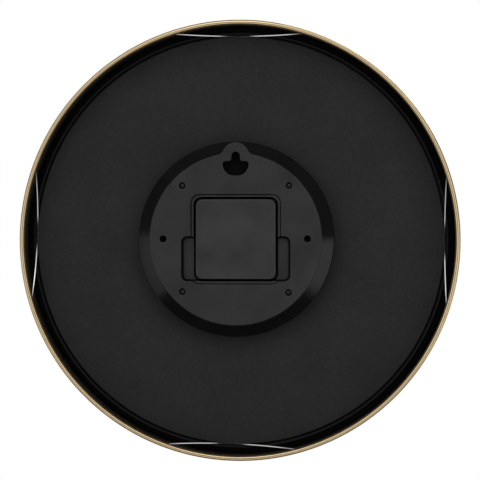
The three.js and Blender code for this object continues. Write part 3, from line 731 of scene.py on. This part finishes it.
def add_minute_track():
    """Sixty printed strokes, as a film on the dial."""
    film = bmesh.new()
    for minute in range(60):
        half, length = (0.45, 3.4) if minute % 5 == 0 else (0.25, 2.2)
        outline = rounded_rect(-half, half, TRACK_OUTER - length, TRACK_OUTER, 0.15)
        stroke = plate(outline, dial_low.y - 0.04, dial_low.y)
        spun(stroke, minute * 6)
        mesh = bpy.data.meshes.new("stroke")
        stroke.to_mesh(mesh)
        stroke.free()
        film.from_mesh(mesh)
        bpy.data.meshes.remove(mesh)
    piece("minute_track", film, "case", hand_gold)


def hand_outline(tail, length, half_tail, half_base, half_tip, hub):
    """A slim tapered hand that points up from a round hub, with a shorter tail below it."""
    side = math.sqrt(hub**2 - half_base**2)
    turn = math.atan2(side, half_base)
    points = arc(0, -tail + half_tail, half_tail, *deg(180, 360), SMOOTH)
    points += arc(0, 0, hub, -turn, turn, SMOOTH)
    points += arc(0, length - half_tip, half_tip, *deg(0, 180), math.radians(30))
    return points + arc(0, 0, hub, math.pi - turn, math.pi + turn, SMOOTH)


def drilled(bm, radius):
    """The piece with a hole along the arbor, right through it."""
    return combined(bm, [("DIFFERENCE", rod(radius, -20, 0, 64))])


def add_broad_hand(unit, outline, hole):
    node = unit + "_hand"
    low, high = box(node)
    hand = drilled(plate(outline, low.y, high.y, front_edge=0.2), hole)
    hand = spun(hand, HAND_TURN[unit])
    piece(unit + "_pointer", hand, unit + "s", hand_gold, [node])


def add_second_hand():
    """A needle with a round counterweight, and a cap with a blind hole for the arbor."""
    low, high = box("second_hand")
    blade_front = low.y + 0.5
    tail = 34
    needle = plate(hand_outline(tail, 122, 1.1, 0.8, 0.4, 4), blade_front, blade_front + 0.5, front_edge=0.12)
    weight = moved(turned(disc_profile(0, 5, blade_front - 0.01, blade_front + 0.51, 0.15), 96), z=-tail)
    cap = turned(disc_profile(0, 3.4, low.y, high.y, 0.35), 96)
    socket_radius, socket_floor, socket_mouth = 0.62, -12.65, -11
    socket = rod(socket_radius, socket_floor, socket_mouth)
    second = combined(needle, [("UNION", weight), ("UNION", cap), ("DIFFERENCE", socket)])
    second = spun(second, HAND_TURN["second"])
    piece("second_pointer", second, "seconds", hand_gold, ["second_hand"])


def add_hub_fittings():
    """The hexagonal nut, its rubber washer, and the small round nut on the minute pipe."""
    low, high = box("mounting_nut")
    corners = [(7 * math.cos(a), 7 * math.sin(a), 0.3) for a in deg(*range(0, 360, 60))]
    hexagon = drilled(plate(rounded(corners), low.y, high.y, front_edge=0.3), HUB_RADIUS + 0.25)
    piece("hexagon_nut", hexagon, "case", brass, ["mounting_nut"])
    low, high = box("dial_washer")
    washer = turned(disc_profile(HUB_HOLE, high.x, low.y, high.y, 0.25), 96)
    piece("washer", washer, "case", rubber, ["dial_washer"])
    low, high = box("hand_nut")
    nut = turned(disc_profile(MINUTE_HOLE, high.x, low.y, high.y, 0.2), 96)
    piece("pointer_nut", nut, "minutes", brass, ["hand_nut"])


# ---- The cell, which shows once the cover is off ----
def add_battery():
    """The cell with its raised contact, lying along X."""
    low, high = box("battery")
    radius, edge, nub, nub_radius, nub_edge = (high.z - low.z) / 2, 0.8, 1, 2.75, 0.3
    length = high.x - low.x - nub
    step = math.radians(15)
    profile = [(0, 0)] + arc(radius - edge, edge, edge, *deg(270, 360), step)
    profile += arc(radius - edge, length - edge, edge, *deg(0, 90), step)
    profile += [(nub_radius + 0.6, length)]
    profile += arc(nub_radius - nub_edge, length + nub - nub_edge, nub_edge, *deg(0, 90), step)
    profile += [(0, length + nub)]
    bm = turned(profile, 96)
    bm.transform(Matrix.Rotation(math.radians(-90), 4, "Z"))
    centre = (low + high) / 2
    moved(bm, low.x, centre.y, centre.z)
    piece("cell_body", bm, "cell", cell_print, ["battery"])


# ---- CAD nodes that stay, with a material and clean shading ----
KEPT = [
    (case_plastic, ["movement_plate", "movement_case"]),
    (brass, ["gear_bridge", "centre_wheel", "hour_wheel"]),
    (acetal, ["intermediate_wheel", "third_wheel", "second_wheel", "motion_wheel", "setting_knob"]),
    (punched_steel, ["stator"]),
    (magnet, ["rotor"]),
    (copper_wire, ["coil"]),
    (green_board, ["circuit_board"]),
    (nickel, ["quartz_crystal", "contact_positive", "contact_negative"]),
]


def dress_kept_nodes():
    for look, nodes in KEPT:
        for node in nodes:
            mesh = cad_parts[node].data
            mesh.materials.clear()
            mesh.materials.append(look)
            mesh.shade_smooth()
            mesh.set_sharp_from_angle(angle=math.radians(35))


# ---- The studio ----
VIEW_DISTANCE = 1100
VIEW_RIGHT, VIEW_UP = 48, 8  # where the eye is, off the point that it aims at
AIM_X, AIM_Z = -0.86, 0.37  # that point, off the arbor
CLOCK_SHARE = 0.92083  # of the picture's width


def add_camera():
    target = Vector((AIM_X, rim_high.y, AIM_Z))
    eye = target + Vector((-VIEW_RIGHT, VIEW_DISTANCE, VIEW_UP))
    data = bpy.data.cameras.new("camera")
    picture_width = (rim_high.x - rim_low.x) / CLOCK_SHARE
    data.lens = data.sensor_width * (eye - target).length / picture_width
    data.clip_start = 0.01
    camera = bpy.data.objects.new("camera", data)
    camera.location = eye * MM
    camera.rotation_euler = (target - eye).to_track_quat("-Z", "Y").to_euler()
    bpy.context.scene.collection.objects.link(camera)
    bpy.context.scene.camera = camera


def add_softbox(name, place, size, power):
    """A square area light that faces the clock. Its place and size are metres, its power is watts."""
    data = bpy.data.lights.new(name, "AREA")
    data.size = size
    data.energy = power
    light = bpy.data.objects.new(name, data)
    light.location = place
    light.rotation_euler = (-Vector(place)).to_track_quat("-Z", "Y").to_euler()
    bpy.context.scene.collection.objects.link(light)


# The room's brightness by the angle from straight behind the clock, in degrees. The gap that the
# camera looks through is dark, the light tent round it is bright, past the tent's edge it is dark
# again, and the room in front of the clock is dim.
ROOM = [(0, 0.02), (16, 0.02), (25, 1.0), (54, 1.0), (66, 0.05), (112, 0.05), (135, 0.4), (180, 0.4)]
ROOM_SLANT = (0, 0, 0.4)  # how much brighter it is towards the top


def add_room():
    """The studio as the clock mirrors it, and plain white where the camera sees past the clock."""
    world = bpy.data.worlds.new("room")
    world.use_nodes = True
    nodes, links = world.node_tree.nodes, world.node_tree.links

    def maths(operation, first, second):
        node = nodes.new("ShaderNodeMath")
        node.operation = operation
        for socket, value in zip(node.inputs, (first, second)):
            if isinstance(value, bpy.types.NodeSocket):
                links.new(value, socket)
            else:
                socket.default_value = value
        return node.outputs[0]

    direction = nodes.new("ShaderNodeTexCoord").outputs["Generated"]
    split = nodes.new("ShaderNodeSeparateXYZ")
    links.new(direction, split.inputs[0])
    slant = nodes.new("ShaderNodeVectorMath")
    slant.operation = "DOT_PRODUCT"
    links.new(direction, slant.inputs[0])
    slant.inputs[1].default_value = ROOM_SLANT
    ramp = nodes.new("ShaderNodeValToRGB")
    links.new(maths("DIVIDE", maths("ARCCOSINE", split.outputs["Y"], 0.0), math.pi), ramp.inputs[0])
    stops = ramp.color_ramp.elements
    while len(stops) < len(ROOM):
        stops.new(1.0)
    for stop, (degrees, radiance) in zip(stops, ROOM):
        stop.position = degrees / 180
        stop.color = grey(radiance)
    mirrored = maths("MULTIPLY", ramp.outputs["Color"], maths("ADD", slant.outputs["Value"], 1.0))
    seen = nodes.new("ShaderNodeLightPath").outputs["Is Camera Ray"]
    links.new(maths("MAXIMUM", mirrored, seen), nodes["Background"].inputs["Strength"])
    nodes["Background"].inputs["Color"].default_value = grey(1.0)
    bpy.context.scene.world = world


def add_floor():
    """A plain pale floor below the clock, which fades out at its rim."""
    look = Tree("floor_paint", specular=0.2)
    look.drive("Base Color", look.mixed(look.noise(6), grey(0.84), grey(0.86)))
    look.drive("Roughness", look.remap(look.noise(20), 0.75, 0.85))
    distance = look.add("ShaderNodeVectorMath", {0: look.place}, operation="LENGTH").outputs["Value"]
    look.drive("Alpha", look.remap(distance, 1, 0, 0.55, 0.95))
    bm = bmesh.new()
    bmesh.ops.create_circle(bm, cap_ends=True, segments=128, radius=1.0)
    mesh = bpy.data.meshes.new("floor")
    bm.to_mesh(mesh)
    bm.free()
    mesh.materials.append(look.material)
    floor = bpy.data.objects.new("floor", mesh)
    floor.location.z = rim_low.z * MM - 0.2
    floor.visible_glossy = False
    bpy.context.scene.collection.objects.link(floor)


add_camera()
add_room()
add_floor()
add_softbox("top", (0.1, 0.8, 0.9), 0.45, 0.6)
add_softbox("left", (1.14, 0.2, -0.34), 0.8, 0.75)
add_softbox("right", (-1.13, 0.2, -0.37), 0.75, 1.0)
add_softbox("front", (-0.6, -1.3, 1.0), 0.9, 10)
bpy.context.scene.view_settings.view_transform = "Standard"

add_rim()
add_ring()
add_discs()
for strip_side, strip_turn in STRIP_TURNS.items():
    add_strip(strip_side, strip_turn)
add_housing()
add_cover()
for number, place in enumerate(CORNER_SCREWS, 1):
    name, node = "cap_screw_%d" % number, "housing_screw_%d" % number
    add_screw(name, node, *place, CORNER_SEAT, screw_black)
# the side screws sit deep in their bores and take the darker copy of the screw metal, which is painted shade
for side, place in SIDE_SCREWS.items():
    name, node = "side_screw_" + side, "anchor_screw_" + side
    add_screw(name, node, *place, SIDE_SEAT, shaded_screw)
add_markers()
add_minute_track()
add_broad_hand("hour", hand_outline(15, 80, 2, 3.2, 1.6, 6.5), HOUR_HOLE)
add_broad_hand("minute", hand_outline(18, 116, 1.6, 2.6, 1.2, 5.5), MINUTE_HOLE)
add_second_hand()
add_hub_fittings()
add_battery()
dress_kept_nodes()
